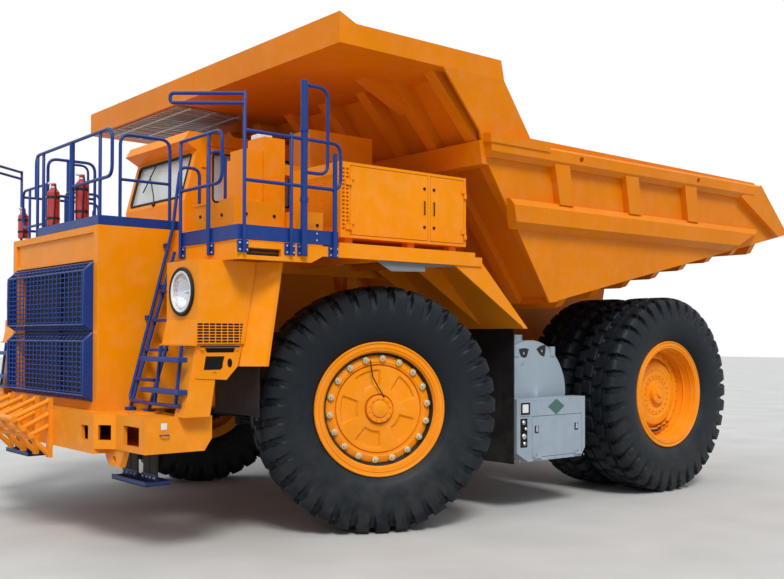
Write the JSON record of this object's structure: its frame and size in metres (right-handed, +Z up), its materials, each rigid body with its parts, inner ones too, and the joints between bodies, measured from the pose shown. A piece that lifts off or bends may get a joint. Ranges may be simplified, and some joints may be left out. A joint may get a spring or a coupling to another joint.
{
  "type": "mining dump truck",
  "caption": "Rigid mining dump truck with a tipping bed under a cab canopy, front steering, twin rear tyres, telescopic hoists, cab, railed decks and opening doors.",
  "frame": {"origin": "centre of the whole truck's footprint box, on the ground under the tyres", "axes": "+Z up, -Y towards the front bumper, +X towards the side that the picture shows"},
  "size_m": [6.244, 10.9619, 5.31],
  "materials": {
    "body_paint": "gloss",
    "blue_paint": "satin",
    "chassis_black": "satin",
    "grey_paint": "satin",
    "red_paint": "gloss",
    "chrome_rod": "polished",
    "cast_iron": "rough",
    "tyre": "matte",
    "rubber": "matte",
    "seat_fabric": "woven",
    "lamp_glass": "clear"
  },
  "bodies": {
    "chassis": {"frame": "chassis_black", "engine": "cast_iron", "radiator": "chassis_black", "bumper": "body_paint", "front_guard": "body_paint", "hood": "body_paint", "grille_guards": "blue_paint", "lamp_boxes": "body_paint", "headlamps": "lamp_glass", "deck": "body_paint", "fenders": "body_paint", "handrails": "blue_paint", "ladders": "blue_paint", "cab": "body_paint", "cab_seat": "seat_fabric", "deck_boxes": "body_paint", "power_cabinet": "body_paint", "fuel_tank": "grey_paint", "equipment_box": "grey_paint", "side_tank": "body_paint", "mud_flaps": "rubber", "front_axle": "chassis_black", "rear_axle": "chassis_black", "extinguishers": "red_paint"},
    "bed": {"bed": "body_paint", "bed_frame": "body_paint"},
    "front_wheel_near": {"front_rim_near": "body_paint", "front_tyre_near": "tyre"},
    "front_wheel_far": {"front_rim_far": "body_paint", "front_tyre_far": "tyre"},
    "rear_wheels_near": {"rear_rims_near": "body_paint", "rear_tyres_near": "tyre"},
    "rear_wheels_far": {"rear_rims_far": "body_paint", "rear_tyres_far": "tyre"},
    "hoist_barrels": {"hoist_barrels": "chassis_black"},
    "hoist_outer": {"hoist_outer": "chrome_rod"},
    "hoist_inner": {"hoist_inner": "chrome_rod"},
    "hoist_rods": {"hoist_rods": "chrome_rod"},
    "knuckle_near": {"knuckle_near": "chassis_black"},
    "knuckle_far": {"knuckle_far": "chassis_black"},
    "tie_rod": {"tie_rod": "chassis_black"},
    "steer_barrel_near": {"steer_barrel_near": "chassis_black"},
    "steer_barrel_far": {"steer_barrel_far": "chassis_black"},
    "steer_rod_near": {"steer_rod_near": "chrome_rod"},
    "steer_rod_far": {"steer_rod_far": "chrome_rod"},
    "cab_door_near": {"cab_door_near": "body_paint"},
    "cab_door_far": {"cab_door_far": "body_paint"},
    "cabinet_door_front": {"cabinet_door_front": "body_paint"},
    "cabinet_door_rear": {"cabinet_door_rear": "body_paint"},
    "equipment_door": {"equipment_door": "grey_paint"}
  },
  "joints": [
    {"name": "bed_tilt", "type": "hinge", "parent": "chassis", "child": "bed", "pos_m": [0, 3.781, 2.4], "axis": [-1, 0, 0], "range_deg": [0, 47]},
    {"name": "hoist_swing", "type": "hinge", "parent": "chassis", "child": "hoist_barrels", "pos_m": [0, 1.281, 1.22], "axis": [-1, 0, 0], "range_deg": [0, 21.97]},
    {"name": "hoist_outer_slide", "type": "slide", "parent": "hoist_barrels", "child": "hoist_outer", "axis": [0, -0.1544, 0.988], "range_m": [0, 0.6718]},
    {"name": "hoist_inner_slide", "type": "slide", "parent": "hoist_outer", "child": "hoist_inner", "axis": [0, -0.1544, 0.988], "range_m": [0, 0.6718]},
    {"name": "hoist_rods_slide", "type": "slide", "parent": "hoist_inner", "child": "hoist_rods", "axis": [0, -0.1544, 0.988], "range_m": [0, 0.6718]},
    {"name": "steer", "type": "hinge", "parent": "chassis", "child": "knuckle_near", "pos_m": [1.85, -1.919, 0], "axis": [0, 0, 1], "range_deg": [-14.5, 61.5]},
    {"name": "steer_far", "type": "hinge", "parent": "chassis", "child": "knuckle_far", "pos_m": [-1.85, -1.919, 0], "axis": [0, 0, 1], "range_deg": [-14.5, 61.5]},
    {"name": "tie_rod_pin", "type": "hinge", "parent": "knuckle_near", "child": "tie_rod", "pos_m": [2.05735, -1.44213, 0.89], "axis": [0, 0, 1], "range_deg": [-61.5, 14.5]},
    {"name": "steer_barrel_near_swing", "type": "hinge", "parent": "chassis", "child": "steer_barrel_near", "pos_m": [0.66, -2.259, 1.64], "axis": [0, 0, 1], "range_deg": [-4.31, 1.09]},
    {"name": "steer_rod_near_slide", "type": "slide", "parent": "steer_barrel_near", "child": "steer_rod_near", "axis": [1, -0.0057, 0], "range_m": [-0.0973, 0.4094]},
    {"name": "steer_barrel_far_swing", "type": "hinge", "parent": "chassis", "child": "steer_barrel_far", "pos_m": [-0.66, -2.259, 1.64], "axis": [0, 0, 1], "range_deg": [-4.53, 1.14]},
    {"name": "steer_rod_far_slide", "type": "slide", "parent": "steer_barrel_far", "child": "steer_rod_far", "axis": [-0.9978, -0.067, 0], "range_m": [-0.4287, 0.1018]},
    {"name": "front_wheel_near_spin", "type": "hinge", "parent": "knuckle_near", "child": "front_wheel_near", "pos_m": [2.30761, -2.11798, 1.325], "axis": [0.9171, -0.3987, 0], "continuous": true},
    {"name": "front_wheel_far_spin", "type": "hinge", "parent": "knuckle_far", "child": "front_wheel_far", "pos_m": [-2.30761, -1.72002, 1.325], "axis": [0.9171, -0.3987, 0], "continuous": true},
    {"name": "rear_wheels_near_spin", "type": "hinge", "parent": "chassis", "child": "rear_wheels_near", "pos_m": [1.64, 2.701, 1.325], "axis": [1, 0, 0], "continuous": true},
    {"name": "rear_wheels_far_spin", "type": "hinge", "parent": "chassis", "child": "rear_wheels_far", "pos_m": [-1.64, 2.701, 1.325], "axis": [1, 0, 0], "continuous": true},
    {"name": "cab_door_near_hinge", "type": "hinge", "parent": "chassis", "child": "cab_door_near", "pos_m": [-0.084, -2.859, 3.7], "axis": [0, 0, -1], "range_deg": [0, 85]},
    {"name": "cab_door_far_hinge", "type": "hinge", "parent": "chassis", "child": "cab_door_far", "pos_m": [-1.766, -2.859, 3.7], "axis": [0, 0, 1], "range_deg": [0, 85]},
    {"name": "cabinet_door_front_hinge", "type": "hinge", "parent": "chassis", "child": "cabinet_door_front", "pos_m": [2.716, -2.749, 3.5], "axis": [0, 0, -1], "range_deg": [0, 110]},
    {"name": "cabinet_door_rear_hinge", "type": "hinge", "parent": "chassis", "child": "cabinet_door_rear", "pos_m": [2.716, -1.129, 3.5], "axis": [0, 0, 1], "range_deg": [0, 110]},
    {"name": "equipment_door_hinge", "type": "hinge", "parent": "chassis", "child": "equipment_door", "pos_m": [2.716, 0.481, 0.65], "axis": [0, 1, 0], "range_deg": [0, 110]}
  ],
  "couplings": [
    {"joint": "hoist_swing", "follows": "bed_tilt", "ratio": 0.46112},
    {"joint": "hoist_outer_slide", "follows": "bed_tilt", "m_per_rad": 0.81651},
    {"joint": "hoist_inner_slide", "follows": "bed_tilt", "m_per_rad": 0.81651},
    {"joint": "hoist_rods_slide", "follows": "bed_tilt", "m_per_rad": 0.81651},
    {"joint": "steer_far", "follows": "steer", "ratio": 1},
    {"joint": "tie_rod_pin", "follows": "steer", "ratio": -1},
    {"joint": "steer_barrel_near_swing", "follows": "steer", "ratio": -0.068425},
    {"joint": "steer_rod_near_slide", "follows": "steer", "m_per_rad": 0.38048},
    {"joint": "steer_barrel_far_swing", "follows": "steer", "ratio": -0.071947},
    {"joint": "steer_rod_far_slide", "follows": "steer", "m_per_rad": -0.39842}
  ]
}
